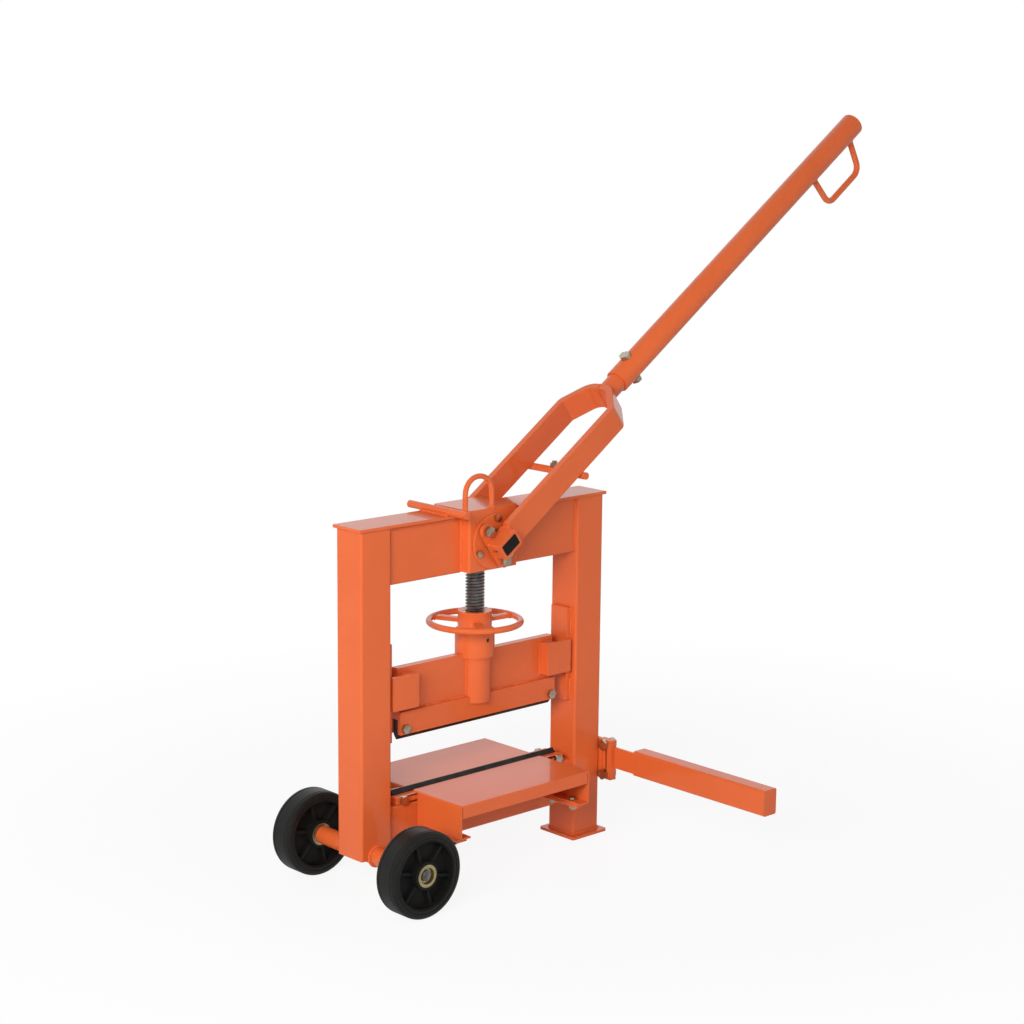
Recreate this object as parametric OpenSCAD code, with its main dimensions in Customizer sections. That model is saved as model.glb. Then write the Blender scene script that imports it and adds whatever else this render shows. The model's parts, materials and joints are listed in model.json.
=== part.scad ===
// Masonry block splitter: a portal frame on two wheels and a foot, a forked lever that turns an
// eccentric shaft, and a screw-adjusted upper blade over a fixed lower blade.
// X runs along the frame towards the lever side, Y towards the back, Z up.
// The origin is the middle of the underside of the foot plate.

/* [Frame] */
// Width over both posts
frame_w = 604; // [560:1:680]
// Ground to the underside of the top plates
frame_h = 681; // [660:1:720]
// Side of the square post tube
post_w = 70; // [66:1:76]
// Wall of the post tube
post_wall = 4; // [3:0.5:6]
// Outer corner radius of the post tube
post_round = 5; // [4.5:0.5:8]
// Lower end of the wheel-side post above the ground
post_bottom = 75; // [66:1:90]
// Thickness of the top plates
top_plate_t = 6; // [4:0.5:10]
// Overhang of the top plates past the posts, along the frame
top_over_x = 5; // [2:0.5:10]
// Overhang of the top plates past the posts, front and back
top_over_y = 3.5; // [2:0.5:8]
// Width of the foot plate
foot_w = 92; // [80:1:110]
// Depth of the foot plate
foot_d = 95; // [80:1:110]
// Thickness of the foot plate
foot_t = 6; // [4:0.5:10]

/* [Top beam and head] */
// Height of the top beam tube
beam_h = 106; // [90:1:110]
// Depth of the top beam tube
beam_d = 56; // [50:1:60]
// Wall of the beam tubes
beam_wall = 5; // [3:0.5:6]
// Width of the head housing
head_w = 120; // [116:1:130]
// Depth of the head housing
head_d = 100; // [94:1:110]
// Height of the housing top above the top plates
head_rise = 6; // [2:0.5:12]
// Height of the housing floor above the beam's underside
head_lift = 2; // [0:0.5:4]
// Thickness of the housing's front and rear cheeks
cheek_t = 12; // [10:0.5:14]
// Thickness of the housing's side walls and lid
head_wall = 8; // [5:0.5:10]
// Thickness of the housing floor
head_floor = 12; // [10:0.5:13]
// Lever pivot below the underside of the top plates
pivot_drop = 51; // [50:0.5:52]
// Diameter of the bearing flange
flange_d = 104; // [100:1:108]
// Thickness of the bearing flange
flange_t = 4; // [3:0.5:6]
// Outer diameter of the bearing sleeve
bearing_d = 58; // [54:1:64]
// Pitch circle of the bearing flange bolts
flange_pcd = 88; // [82:1:90]
// Angle of the first flange bolt
flange_bolt_angle = 84; // [80:1:90]
// Diameter of the rod of the lifting eye
eye_rod = 10; // [8:0.5:12]
// Height of the lifting eye above the housing
eye_rise = 66; // [45:1:70]
// Lifting eye to the front face of the housing
eye_inset = 6; // [5:0.5:14]

/* [Eccentric and lever] */
// Diameter of the shaft journals
shaft_d = 44; // [44:0.5:46]
// Diameter of the eccentric
eccentric_d = 52; // [50:0.5:54]
// Throw of the eccentric
throw = 9; // [6:0.5:9]
// Width of the eccentric
eccentric_w = 28; // [20:1:40]
// Long side of the shaft's rectangular end
tang_l = 38; // [34:0.5:38]
// Short side of the shaft's rectangular end
tang_h = 22; // [18:0.5:22]
// Lever above level when it rests on its stop
lever_angle = 35.2; // [34:0.1:37]
// Swing of the lever from stop to stop
lever_swing = 95; // [90:1:95]
// Wall of the socket over the rectangular shaft end
socket_wall = 6; // [5:0.5:8]
// Length of the socket
socket_l = 30; // [26:1:36]
// Thickness of the drive plate behind the socket
drive_t = 7; // [6:0.5:10]
// Distance of the drive bolts from the shaft axis
drive_bolt_r = 36; // [34:0.5:40]
// Width of a fork arm
arm_w = 50; // [44:1:54]
// Thickness of a fork arm
arm_t = 14; // [10:0.5:18]
// Pivot to the bend of a fork arm
arm_bend_s = 357; // [300:1:380]
// Bend radius of a fork arm
arm_bend_r = 12; // [11:1:30]
// Bend of a fork arm to the fork's nose, along the lever
nose_run = 52; // [44:1:70]
// Half the width of the fork's nose
nose_half = 25; // [23:1:32]
// Bend radius at the fork's nose
nose_r = 33; // [20:1:36]
// Diameter of the handle stub
stub_d = 40; // [36:0.1:44]
// Wall of the handle tube
handle_wall = 4.1; // [3:0.1:5]
// Fork nose to the lower end of the handle tube
handle_gap = 36; // [24:1:48]
// Length of the handle tube
handle_l = 856; // [600:1:1000]
// Handle bolt from the lower end of the handle tube
handle_bolt_s = 45; // [30:1:60]
// Rod of the hand guard
guard_rod = 13; // [8:0.5:15]
// Length of the hand guard along the handle
guard_l = 143; // [120:1:180]
// Depth of the hand guard below the handle tube
guard_depth = 78; // [55:1:90]
// Bend radius of the hand guard
guard_bend = 22; // [16:1:25]

/* [Lever stops] */
// Diameter of the stop bars
stop_d = 14; // [10:0.5:16]
// Length of the stop bars
stop_l = 160; // [152:1:190]
// Pivot to the resting stop, along the frame
rest_stop_x = 203; // [180:1:230]
// Pivot to the opening stop, along the frame
open_stop_x = 97; // [97:1:110]

/* [Spindle and handwheel] */
// Thread diameter of the spindle
spindle_d = 36; // [34:0.5:36]
// Pitch of the spindle thread
pitch = 6; // [4:0.5:8]
// Depth of the spindle thread
thread_depth = 3.5; // [2:0.1:4]
// Lower end of the spindle above the cutting edge
spindle_end = 95; // [91:1:99]
// Ring radius of the handwheel
wheel_ring_r = 86; // [70:1:100]
// Rod of the handwheel ring
wheel_rod = 12; // [8:0.5:14]
// Height of the handwheel ring above the cutting edge
wheel_ring_z = 193; // [189:0.5:201]
// Diameter of the handwheel hub
wheel_hub_d = 64; // [62:1:70]
// Height of the handwheel hub above the collar
wheel_hub_h = 36; // [30:1:44]
// Length of the handwheel's neck in the collar
neck_l = 43; // [40:1:46]
// Width of a handwheel spoke
spoke_w = 14; // [8:0.5:18]
// Thickness of a handwheel spoke
spoke_t = 8; // [6:0.5:10]
// Angle of the first handwheel spoke
spoke_angle = -5; // [-20:1:20]

/* [Upper blade] */
// Diameter of the collar that holds the handwheel
collar_d = 75; // [72:1:80]
// Top of the collar above the cutting edge
collar_top = 178; // [175:1:181]
// Height of the collar
collar_h = 50; // [46:1:54]
// Diameter of the tube below the collar
tube_d = 60; // [56:1:64]
// Lower end of the tube above the cutting edge
tube_bottom = 41; // [37:1:45]
// Gap between the blade plate and each guide rail
plate_gap = 25; // [18:1:40]
// Thickness of the blade plate and of the upper blade
plate_t = 16; // [12:1:18]
// Top of the blade plate above the cutting edge
plate_top = 136; // [123:1:143]
// Thickness of an apron bar
apron_t = 8; // [6:0.5:12]
// Top of the apron bars above the cutting edge
apron_top = 54; // [51:1:68]
// Bottom of the apron bars above the cutting edge
apron_bottom = 11; // [7:1:13]
// Drawn height of the upper blade over the middle of its travel
blade_offset = 4.1; // [0:0.1:10]
// Joint between the blade plate and the upper blade above the cutting edge
blade_seat = 39; // [35:1:45]
// Width of a guide claw
claw_w = 62; // [50:1:70]
// Height of a guide claw
claw_h = 64; // [50:1:70]
// Lower edge of the guide claws above the cutting edge
claw_bottom = 63; // [59:1:73]
// Thickness of a guide claw
claw_t = 8; // [6:0.5:10]
// Width of a guide rail
rail_w = 44; // [38:1:50]
// Thickness of a guide rail
rail_t = 12; // [10:0.5:14]
// Lower end of the guide rails above the cutting edge
rail_bottom = 3; // [-7:1:23]
// Upper end of the guide rails above the cutting edge
rail_top = 188; // [185:1:203]

/* [Lower blade and tables] */
// Depth of the lower beam tube
low_beam_d = 50; // [46:1:56]
// Underside of the lower beam above the ground
low_beam_bottom = 75; // [60:1:90]
// Top of the lower beam above the ground
low_beam_top = 160; // [150:1:164]
// Thickness of the lower blade
low_blade_t = 14; // [10:1:18]
// Gap between the lower blade and each post
low_blade_gap = 25; // [18:1:40]
// Cutting edge of the lower blade above the ground
low_blade_edge = 183; // [181:1:186]
// Gap between the lower blade bolts and each end of a table
table_gap = 33; // [25:1:45]
// Table top above the ground
table_top = 178; // [177:0.5:180]
// Inner edge of a table from the blade line
table_in = 12; // [10:1:16]
// Outer edge of a table from the blade line
table_out = 147; // [130:1:160]
// Sheet thickness of a table
sheet_t = 3; // [2:0.5:4]
// Depth of a table's front lip
lip_h = 24; // [15:1:30]
// Depth of a table's end panels
panel_h = 64; // [50:1:70]
// Width of the flanges under the end panels
panel_flange = 24; // [20:1:30]
// Thickness of the bars that carry a table
table_bar_t = 8; // [6:0.5:10]

/* [Wheels] */
// Diameter of a wheel
wheel_d = 160; // [150:1:170]
// Width of a wheel
wheel_w = 50; // [40:1:56]
// Inner face of a wheel from the frame's mid-plane
wheel_in = 126; // [110:1:140]
// Diameter of the axle
axle_d = 20; // [18:0.5:22]
// Diameter of the axle sleeve
sleeve_d = 34; // [30:0.5:36]
// Thickness of the tyre
tyre_t = 16; // [10:0.5:18]
// Outer diameter of the wheel bush
bush_d = 42; // [38:0.5:44]
// Diameter of the recess in the wheel bush
bush_recess_d = 30; // [28:0.5:32]
// Number of ribs on each side of a wheel
ribs = 6; // [4:1:10]

/* [Stabiliser] */
// Width of the stabiliser tube
arm_tube_w = 34; // [28:1:40]
// Height of the stabiliser tube
arm_tube_h = 50; // [40:1:54]
// Wall of the stabiliser tube
arm_tube_wall = 5; // [3:0.5:6]
// Far end of the stabiliser from the frame's mid-plane
arm_reach = 455; // [350:1:520]
// Start of the closed tube from the frame's mid-plane
arm_tube_start = 120; // [100:1:160]
// Thickness of the lug on the post
lug_t = 9; // [6:0.5:12]
// Height of the lug
lug_h = 80; // [76:1:90]
// Middle of the lug above the ground
lug_z = 151; // [130:1:170]
// Distance between the lug bolts
lug_pitch = 60; // [58:1:62]
// Bolt line in front of the post face
lug_bolt_y = 15; // [14:0.5:18]

/* [Hidden] */
$fn = 64;
fit = 0.05;
slack = 0.3;
eps = 0.01;
paint = [0.87, 0.4, 0.22];
zinc = [0.78, 0.76, 0.7];
black_steel = [0.1, 0.1, 0.11];
dark_steel = [0.25, 0.25, 0.26];
bronze = [0.7, 0.52, 0.3];
black_plastic = [0.08, 0.08, 0.08];
black_rubber = [0.06, 0.06, 0.06];

// Thread sizes of the bolts
flange_m = 8;
blade_m = 10;
lever_m = 12;
table_m = 8;
stud_m = 10;
grub_m = 8;

// Frame
post_x = (frame_w - post_w) / 2;
post_in = frame_w / 2 - post_w;
top_z = frame_h + top_plate_t;
beam_z = frame_h - beam_h;
tube_round = 4;

// Head, eccentric and yoke
head_bottom = beam_z + head_lift;
head_top = top_z + head_rise;
head_round = 4;
floor_z = head_bottom + head_floor;
pivot_z = frame_h - pivot_drop;
bush_wall = 5;
eye_weld = 14;
ecc_r = eccentric_d / 2;
ecc_x = throw * cos(lever_swing / 2);
ecc_z = pivot_z - throw * sin(lever_swing / 2);
yoke_play = 0.5;
yoke_t = eccentric_w - 4;
yoke_side = 10;
yoke_cap = 9;
yoke_bottom = floor_z + yoke_play;

// Lever, measured along the lever from its pivot
side_play = 0.8;
drive_y = head_d / 2 + flange_t + head_h(flange_m) + side_play;
arm_y = drive_y + drive_t;
arm_mid = arm_y + arm_t / 2;
rear_y = head_d / 2 + flange_t + side_play;
rear_mid = rear_y + arm_t / 2;
rear_end = rear_y + socket_l;
socket_w = tang_l + 2 * socket_wall;
socket_h = tang_h + 2 * socket_wall;
socket_end = arm_y + socket_l;
plug_l = 10;
drive_boss_r = 14;
drive_bolt_s = -10;
arm_root = socket_w / 2;
nose_s = arm_bend_s + nose_run;
handle_start = nose_s + arm_t / 2 + handle_gap;
handle_end = handle_start + handle_l;
handle_od = stub_d + 2 * fit + 2 * handle_wall;
stub_in = 75;
cap_t = 3;
guard_setback = 24;
guard_start = handle_end - guard_setback - guard_l;
guard_lean_low = 15;
guard_lean_high = 9;

// Lever stops
rest_drop = (arm_w / 2 + stop_d / 2 + slack) / cos(lever_angle);
rest_stop_z = pivot_z + rest_stop_x * tan(lever_angle) - rest_drop;
stop_y = (rear_mid - arm_mid) / 2;

// Spindle, handwheel and carriage
spindle_top = yoke_bottom;
thread_top = head_bottom - 15;
crest_w = pitch * 0.37;
flank_w = thread_depth * tan(15);
neck_d = collar_d - 17;
neck_bottom = collar_top - neck_l;
groove_depth = 3;
groove_w = grub_m + 0.4;
groove_z = collar_top - 16;
nut_d = neck_d - 14;
hub_gap = 0.2;
hub_bottom = collar_top + hub_gap;
carriage_h = hub_bottom + wheel_hub_h;
blade_edge = low_blade_edge + (head_bottom - low_blade_edge - carriage_h) / 2 + blade_offset;
collar_bottom = collar_top - collar_h;
tube_floor = 8;
spindle_room = 1.5;
plate_l = 2 * (post_in - rail_t - plate_gap);
plate_y = plate_t / 2;
apron_y = plate_y + apron_t;
blade_end = 3;
blade_bolt_edge = 11;
blade_bolt_x = plate_l / 2 - blade_bolt_edge;
blade_bolt_z = apron_bottom + blade_bolt_edge;
edge_flat = 3;
claw_y = rail_w / 2 + slack;
claw_gap = 8;
claw_out = post_in - claw_gap;
claw_foot = 24;

// Lower blade and tables
cheek_top = table_top - sheet_t;
low_blade_l = 2 * (post_in - low_blade_gap);
cheek_over = 5;
cheek_l = low_blade_l + 2 * cheek_over;
low_bolt_x = low_blade_l / 2 - blade_bolt_edge;
table_l = 2 * (low_bolt_x - table_gap);
low_bolt_z = (low_beam_top + cheek_top) / 2;
panel_back = low_beam_d / 2 + 1;
panel_bottom = table_top - panel_h;
table_bolt_x = table_l / 2 - panel_flange / 2 - 1;
table_bolt_edge = 30;
table_bolt_pitch = 58;
table_bolt_ys = [table_out - table_bolt_edge - table_bolt_pitch, table_out - table_bolt_edge];
bar_setback = 10;

// Wheels
wheel_r = wheel_d / 2;
wheel_out = wheel_in + wheel_w;
tyre_round = 7;
rim_t = 3;
web_t = 14;
boss_r = bush_d / 2 + 5;
rib_t = 6;
rib_inset = 10;
rib_angle = -14;
recess_l = 8;
axle_inset = 3;
washer_l = 3;
clip_t = 1.5;

// Stabiliser
arm_x = frame_w / 2 + lug_t + 0.2;
bolt_y = post_w / 2 + lug_bolt_y;
lug_margin = 18;
lug_back = 20;
hinge_z = lug_z + lug_pitch / 2;
lock_z = lug_z - lug_pitch / 2;
arm_z = hinge_z - arm_tube_h / 2;
arm_cap_t = 4;
slot_rise = lug_pitch / 12;

// Shared shapes

bend_steps = 8;
rod_sides = 24;
function head_h(m) = 0.65 * m;
function nut_h(m) = 0.8 * m;
function hex_d(m) = 1.6 * m / cos(30);
function unit(v) = v / norm(v);
function turn(a, b, c) = acos(unit(b - a) * unit(c - b));
function setback(a, b, c, r) = r * tan(turn(a, b, c) / 2);
function turned(v, a) = [v[0] * cos(a) - v[1] * sin(a), v[0] * sin(a) + v[1] * cos(a)];

module place() {
  translate([-post_x, 0, 0]) children();
}

// Heights from the upper blade's cutting edge
module on_carriage() {
  place() translate([0, 0, blade_edge]) children();
}

module both_sides() {
  children();
  mirror([0, 1, 0]) children();
}

module both_ends() {
  children();
  mirror([1, 0, 0]) children();
}

// Lever frame: X along the lever from its pivot, Z square to it, upwards
module on_lever() {
  translate([0, 0, pivot_z]) rotate([0, -lever_angle, 0]) children();
}

module rod_x(d, x0, x1) {
  translate([x0, 0, 0]) rotate([0, 90, 0]) cylinder(d = d, h = x1 - x0);
}

module rod_y(d, y0, y1) {
  translate([0, y0, 0]) rotate([-90, 0, 0]) cylinder(d = d, h = y1 - y0);
}

module rod_z(d, z0, z1) {
  translate([0, 0, z0]) cylinder(d = d, h = z1 - z0);
}

module box(low, high) {
  translate(low) cube(high - low);
}

module round_rect(w, d, r) {
  square([w - 2 * r, d], center = true);
  square([w, d - 2 * r], center = true);
  for (x = [-1, 1], y = [-1, 1]) {
    translate([x * (w / 2 - r), y * (d / 2 - r)]) circle(r = r);
  }
}

module tube_2d(w, d, wall, r) {
  difference() {
    round_rect(w, d, r);
    round_rect(w - 2 * wall, d - 2 * wall, max(r - wall, 0.5));
  }
}

// Square tube along X between two ends
module tube_x(x0, x1, d, z0, z1, wall) {
  translate([x0, 0, (z0 + z1) / 2]) rotate([90, 0, 90]) linear_extrude(x1 - x0)
    tube_2d(d, z1 - z0, wall, tube_round);
}

// Flat shape in the X-Z plane, thickened towards the front from y
module front_slab(y, t) {
  translate([0, -y, 0]) rotate([90, 0, 0]) linear_extrude(t) children();
}

// The same towards the back
module rear_slab(y, t) {
  mirror([0, 1, 0]) front_slab(y, t) children();
}

// Bolt with its bearing face at z = 0 and its shank along +Z
module hex_bolt(m, l) {
  translate([0, 0, -head_h(m)]) cylinder(d = hex_d(m), h = head_h(m), $fn = 6);
  translate([0, 0, -head_h(m) / 2]) cylinder(d = m, h = l + head_h(m) / 2);
}

module hex_nut(m) {
  difference() {
    cylinder(d = hex_d(m), h = nut_h(m), $fn = 6);
    translate([0, 0, -1]) cylinder(d = m + 2 * fit, h = nut_h(m) + 2);
  }
}

// Bolt along +Y from y0, with its nut at y1
module through_bolt_y(m, y0, y1) {
  translate([0, y0, 0]) rotate([-90, 0, 0]) hex_bolt(m, y1 - y0 + nut_h(m) + 2);
  translate([0, y1, 0]) rotate([-90, 0, 0]) hex_nut(m);
}

// Points along a bent rod in the X-Y plane, with a round bend at each corner
function bend_points(a, b, c, r) =
  let (way_in = unit(b - a), way_out = unit(c - b))
  let (side = sign(way_in[0] * way_out[1] - way_in[1] * way_out[0]))
  let (start = b - way_in * setback(a, b, c, r))
  let (spoke = side * r * [way_in[1], -way_in[0]])
  [for (i = [0 : bend_steps]) start - spoke + turned(spoke, side * turn(a, b, c) * i / bend_steps)];
function bent(p, r) = concat(
  [p[0]],
  [for (i = [1 : len(p) - 2]) each bend_points(p[i - 1], p[i], p[i + 1], r)],
  [p[len(p) - 1]]
);

// Way from a point of a path to its left edge, for an edge one unit off the path
function mitre_at(p, i) =
  let (last = len(p) - 1)
  let (way_in = unit(p[max(i, 1)] - p[max(i, 1) - 1]))
  let (way_out = unit(p[min(i, last - 1) + 1] - p[min(i, last - 1)]))
  let (side = [-way_in[1] - way_out[1], way_in[0] + way_out[0]])
  2 * side / (side * side);

// Round rod along points in the X-Y plane
module rod_path(p, d) {
  last = len(p) - 1;
  ring = [for (j = [0 : rod_sides - 1]) d / 2 * [cos(j * 360 / rod_sides), sin(j * 360 / rod_sides)]];
  points = [for (i = [0 : last])
    let (mitre = mitre_at(p, i))
    for (q = ring) [p[i][0] + mitre[0] * q[0], p[i][1] + mitre[1] * q[0], q[1]]
  ];
  walls = [for (i = [0 : last - 1], j = [0 : rod_sides - 1])
    let (k = (j + 1) % rod_sides)
    [i * rod_sides + j, (i + 1) * rod_sides + j, (i + 1) * rod_sides + k, i * rod_sides + k]
  ];
  polyhedron(points, concat(
    walls,
    [[for (j = [0 : rod_sides - 1]) j]],
    [[for (j = [rod_sides - 1 : -1 : 0]) last * rod_sides + j]]
  ));
}

module flange_bolt_places() {
  for (i = [0 : 2]) {
    a = flange_bolt_angle + i * 120;
    translate([flange_pcd / 2 * cos(a), 0, pivot_z + flange_pcd / 2 * sin(a)]) children();
  }
}

module table_bolt_places() {
  both_ends() for (y = table_bolt_ys) {
    translate([table_bolt_x, -y, 0]) children();
  }
}

// Frame

module left_post() {
  color(paint) place() difference() {
    translate([-post_x, 0, post_bottom]) linear_extrude(frame_h - post_bottom)
      tube_2d(post_w, post_w, post_wall, post_round);
    translate([-post_x, 0, wheel_r]) rod_y(sleeve_d + 2 * fit, -post_w, post_w);
  }
}

module right_post() {
  color(paint) place() translate([post_x, 0, foot_t]) linear_extrude(frame_h - foot_t)
    tube_2d(post_w, post_w, post_wall, post_round);
}

module foot_plate() {
  color(paint) place() translate([post_x, 0, 0]) linear_extrude(foot_t)
    round_rect(foot_w, foot_d, 3);
}

module top_plates() {
  reach = frame_w / 2 + top_over_x;
  half_d = post_w / 2 + top_over_y;
  color(paint) place() both_ends() box([head_w / 2, -half_d, frame_h], [reach, half_d, top_z]);
}

module right_beam() {
  color(paint) place() tube_x(head_w / 2, post_in, beam_d, beam_z, frame_h, beam_wall);
}

module left_beam() {
  color(paint) place() tube_x(-post_in, -head_w / 2, beam_d, beam_z, frame_h, beam_wall);
}

module head_housing() {
  room_x = head_w / 2 - head_wall;
  room_y = head_d / 2 - cheek_t;
  color(paint) place() difference() {
    translate([0, 0, head_bottom]) linear_extrude(head_top - head_bottom)
      round_rect(head_w, head_d, head_round);
    box([-room_x, -room_y, floor_z], [room_x, room_y, head_top - head_wall]);
    translate([0, 0, pivot_z]) rod_y(bearing_d + 2 * fit, -head_d, head_d);
    rod_z(spindle_d + 2 * bush_wall + 2 * fit, head_bottom - 1, floor_z + 1);
    flange_bolt_places() rod_y(flange_m + 2 * fit, -head_d, -room_y + 1);
  }
}

module bearing() {
  face = head_d / 2;
  translate([0, 0, pivot_z]) difference() {
    union() {
      rod_y(flange_d, -face - flange_t, -face);
      rod_y(bearing_d, -face - flange_t / 2, -face + cheek_t);
    }
    rod_y(shaft_d + 2 * fit, -head_d, 0);
  }
}

module front_bearing() {
  color(paint) place() difference() {
    bearing();
    flange_bolt_places() rod_y(flange_m + 2 * fit, -head_d, -head_d / 2 + 1);
  }
}

// The rear bearing is pressed in
module rear_bearing() {
  color(paint) place() mirror([0, 1, 0]) bearing();
}

module bearing_bolts() {
  color(zinc) place() flange_bolt_places()
    translate([0, -head_d / 2 - flange_t, 0]) rotate([-90, 0, 0])
      hex_bolt(flange_m, flange_t + cheek_t - 1);
}

module spindle_bush() {
  color(bronze) place() difference() {
    rod_z(spindle_d + 2 * bush_wall, head_bottom, floor_z);
    rod_z(spindle_d + 2 * fit, head_bottom - 1, floor_z + 1);
  }
}

module lifting_eye() {
  left = -head_w / 2 - eye_rod / 2;
  top = head_top + eye_rise - eye_rod / 2;
  color(paint) place() translate([0, -head_d / 2 + eye_inset, 0]) rotate([90, 0, 0])
    rod_path(bent([[left, head_top - eye_weld], [left, top], [0, top], [0, head_top]],
      -left / 2 - 1.5), eye_rod);
}

module left_stop_bar() {
  color(paint) place() translate([-open_stop_x, 0, top_z + stop_d / 2])
    rod_y(stop_d, stop_y - stop_l / 2, stop_y + stop_l / 2);
}

module right_stop_bar() {
  color(paint) place() translate([rest_stop_x, 0, rest_stop_z]) difference() {
    rod_y(stop_d, stop_y - stop_l / 2, stop_y + stop_l / 2);
    rod_z(stud_m + 2 * fit, -stop_d, stop_d);
  }
}

module stop_stud() {
  over = rest_stop_z + stop_d / 2;
  under = rest_stop_z - stop_d / 2 - nut_h(stud_m);
  color(zinc) place() translate([rest_stop_x, 0, 0]) {
    rod_z(stud_m, top_z, over + nut_h(stud_m) + 4);
    for (z = [top_z, under, over]) {
      translate([0, 0, z]) hex_nut(stud_m);
    }
  }
}

// Lower blade and tables

module lower_beam() {
  color(paint) place() tube_x(-post_in, post_in, low_beam_d, low_beam_bottom, low_beam_top, beam_wall);
}

module blade_cheeks() {
  color(paint) place() difference() {
    both_sides() box([-cheek_l / 2, low_blade_t / 2, low_beam_top], [cheek_l / 2, low_beam_d / 2, cheek_top]);
    low_bolt_holes();
  }
}

module low_bolt_holes() {
  both_ends() translate([low_bolt_x, 0, low_bolt_z]) rod_y(blade_m + 2 * fit, -low_beam_d, low_beam_d);
}

// Bar along X whose section is a blade, with its edge at edge and its back at back
module blade_bar(l, t, back, edge) {
  side = sign(edge - back);
  translate([-l / 2, 0, 0]) rotate([90, 0, 90]) linear_extrude(l) polygon([
    [-t / 2, back], [t / 2, back], [t / 2, edge - side * t / 2],
    [edge_flat / 2, edge], [-edge_flat / 2, edge], [-t / 2, edge - side * t / 2]
  ]);
}

module lower_blade() {
  color(black_steel) place() difference() {
    blade_bar(low_blade_l, low_blade_t, low_beam_top, low_blade_edge);
    low_bolt_holes();
  }
}

module lower_blade_bolts() {
  color(zinc) place() both_ends() translate([low_bolt_x, 0, low_bolt_z])
    through_bolt_y(blade_m, -low_beam_d / 2, low_beam_d / 2);
}

module guide_rails() {
  color(paint) on_carriage() both_ends()
    box([post_in - rail_t, -rail_w / 2, rail_bottom], [post_in, rail_w / 2, rail_top]);
}

module table() {
  half = table_l / 2;
  lip_half = half - sheet_t - 2;
  difference() {
    union() {
      box([-half, -table_out, cheek_top], [half, -table_in, table_top]);
      both_ends() {
        box([half - sheet_t, -table_out, panel_bottom], [half, -panel_back, table_top]);
        box([half - panel_flange, -table_out, panel_bottom], [half, -panel_back, panel_bottom + sheet_t]);
      }
      box([-lip_half, -table_out, table_top - lip_h], [lip_half, -table_out + sheet_t, table_top]);
    }
    table_bolt_places() rod_z(table_m + 2 * fit, panel_bottom - 1, panel_bottom + sheet_t + 1);
  }
}

module front_table() {
  color(paint) place() table();
}

module rear_table() {
  color(paint) place() mirror([0, 1, 0]) table();
}

module table_bars() {
  half = table_l / 2;
  low = panel_bottom - table_bar_t;
  color(paint) place() both_sides() difference() {
    both_ends() box([half - panel_flange, -table_out + bar_setback, low], [half, -low_beam_d / 2, panel_bottom]);
    table_bolt_places() rod_z(table_m + 2 * fit, low - 1, panel_bottom + 1);
  }
}

module table_bolts() {
  seat = panel_bottom + sheet_t;
  grip = sheet_t + table_bar_t;
  color(zinc) place() both_sides() table_bolt_places() {
    translate([0, 0, seat]) mirror([0, 0, 1]) hex_bolt(table_m, grip + nut_h(table_m) + 2);
    translate([0, 0, seat - grip - nut_h(table_m)]) hex_nut(table_m);
  }
}

// Wheels

module at_axle() {
  translate([-post_x, 0, wheel_r]) children();
}

module axle_sleeve() {
  end = wheel_in - washer_l;
  color(paint) place() at_axle() difference() {
    rod_y(sleeve_d, -end, end);
    rod_y(axle_d + 2 * fit, -wheel_in, wheel_in);
  }
}

module axle() {
  end = wheel_out - axle_inset;
  color(dark_steel) place() at_axle() rod_y(axle_d, -end, end);
}

module axle_ring(d, y0, l) {
  difference() {
    rod_y(d, -y0 - l, -y0);
    rod_y(axle_d + 2 * fit, -y0 - l - 1, -y0 + 1);
  }
}

module axle_rings() {
  clip_d = bush_recess_d - 3;
  color(zinc) place() at_axle() both_sides() {
    axle_ring(sleeve_d + 4, wheel_in - washer_l, washer_l - slack);
    axle_ring(clip_d, wheel_out - recess_l + slack, clip_t);
  }
}

// Wheel frame: Z along the axle, from the inner face of the front wheel outwards
module front_wheel_frame() {
  at_axle() rotate([90, 0, 0]) translate([0, 0, wheel_in]) children();
}

module tyre() {
  inner = wheel_r - tyre_t;
  rotate_extrude($fn = 96) {
    translate([inner, 0]) square([tyre_t - tyre_round, wheel_w]);
    translate([inner, tyre_round]) square([tyre_t, wheel_w - 2 * tyre_round]);
    for (y = [tyre_round, wheel_w - tyre_round]) {
      translate([wheel_r - tyre_round, y]) circle(r = tyre_round);
    }
  }
}

module wheel_core() {
  rim_out = wheel_r - tyre_t - fit;
  rim_in = rim_out - rim_t;
  difference() {
    union() {
      rotate_extrude($fn = 96) {
        translate([rim_in, 2]) square([rim_t, wheel_w - 4]);
        translate([boss_r - 1, (wheel_w - web_t) / 2]) square([rim_in - boss_r + 2, web_t]);
        translate([bush_d / 2 + fit, 1]) square([boss_r - bush_d / 2 - fit, wheel_w - 2]);
      }
      for (i = [0 : ribs - 1]) {
        rotate([0, 0, rib_angle + i * 360 / ribs])
          box([boss_r - 1, -rib_t / 2, rib_inset], [rim_in + 1, rib_t / 2, wheel_w - rib_inset]);
      }
    }
    rod_z(bush_d + 2 * fit, -1, wheel_w + 1);
  }
}

module wheel_bush() {
  difference() {
    rod_z(bush_d, 0, wheel_w);
    rod_z(axle_d + 2 * fit, -1, wheel_w + 1);
    rod_z(bush_recess_d, wheel_w - recess_l, wheel_w + 1);
  }
}

module front_tyre() {
  color(black_rubber) place() front_wheel_frame() tyre();
}

module front_wheel_core() {
  color(black_plastic) place() front_wheel_frame() wheel_core();
}

module front_wheel_bush() {
  color(zinc) place() front_wheel_frame() wheel_bush();
}

module rear_tyre() {
  color(black_rubber) place() mirror([0, 1, 0]) front_wheel_frame() tyre();
}

module rear_wheel_core() {
  color(black_plastic) place() mirror([0, 1, 0]) front_wheel_frame() wheel_core();
}

module rear_wheel_bush() {
  color(zinc) place() mirror([0, 1, 0]) front_wheel_frame() wheel_bush();
}

// Stabiliser

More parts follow.
